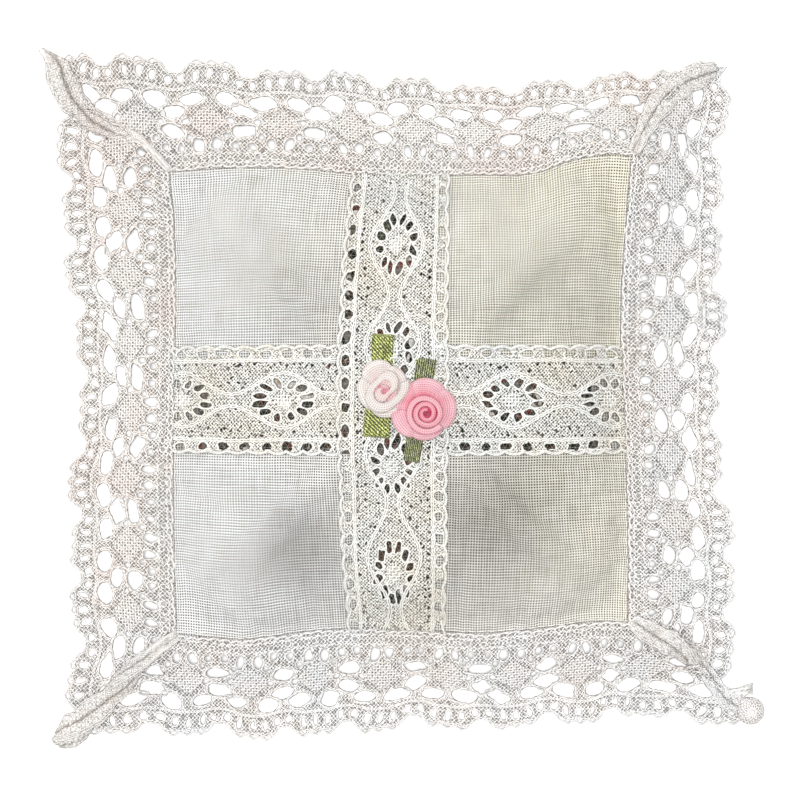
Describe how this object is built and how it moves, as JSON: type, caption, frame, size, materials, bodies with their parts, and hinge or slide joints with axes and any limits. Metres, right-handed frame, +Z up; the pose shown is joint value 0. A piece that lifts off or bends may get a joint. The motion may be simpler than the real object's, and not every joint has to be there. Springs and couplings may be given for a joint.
{
  "type": "ring bearer pillow",
  "caption": "Small square linen pillow with a cross of insertion lace, a wide scalloped lace edging and ribbon roses at its middle.",
  "frame": {"origin": "middle of the pillow's box on the plane it rests on", "axes": "+Z up out of the front, +X to the right and +Y towards the top edge as the front is looked at"},
  "size_m": [0.1704, 0.166, 0.0306],
  "materials": {
    "linen": "matte",
    "cotton_lace": "matte",
    "net": "matte",
    "dried_petals": "matte",
    "sewing_thread": "satin",
    "white_satin": "satin",
    "pink_satin": "satin",
    "light_green_satin": "satin",
    "dark_green_satin": "satin"
  },
  "bodies": {
    "root": {"back_panel": "linen", "petal_filling": "dried_petals", "net_lining": "net", "linen_square_top_left": "linen", "linen_square_top_right": "linen", "linen_square_bottom_left": "linen", "linen_square_bottom_right": "linen", "insertion_lace_vertical": "cotton_lace", "insertion_lace_left": "cotton_lace", "insertion_lace_right": "cotton_lace", "edging_lace_top": "cotton_lace", "edging_lace_right": "cotton_lace", "edging_lace_bottom": "cotton_lace", "edging_lace_left": "cotton_lace", "corner_seam_top_left": "cotton_lace", "corner_seam_top_right": "cotton_lace", "corner_seam_bottom_right": "cotton_lace", "corner_seam_bottom_left": "cotton_lace", "perimeter_stitching": "sewing_thread", "stitching_vertical_left": "sewing_thread", "stitching_vertical_right": "sewing_thread", "stitching_left_upper": "sewing_thread", "stitching_left_lower": "sewing_thread", "stitching_right_upper": "sewing_thread", "stitching_right_lower": "sewing_thread", "leaf_ribbon_light": "light_green_satin", "leaf_ribbon_dark": "dark_green_satin", "ribbon_rose_white": "white_satin", "ribbon_rose_pink": "pink_satin"}
  },
  "joints": []
}
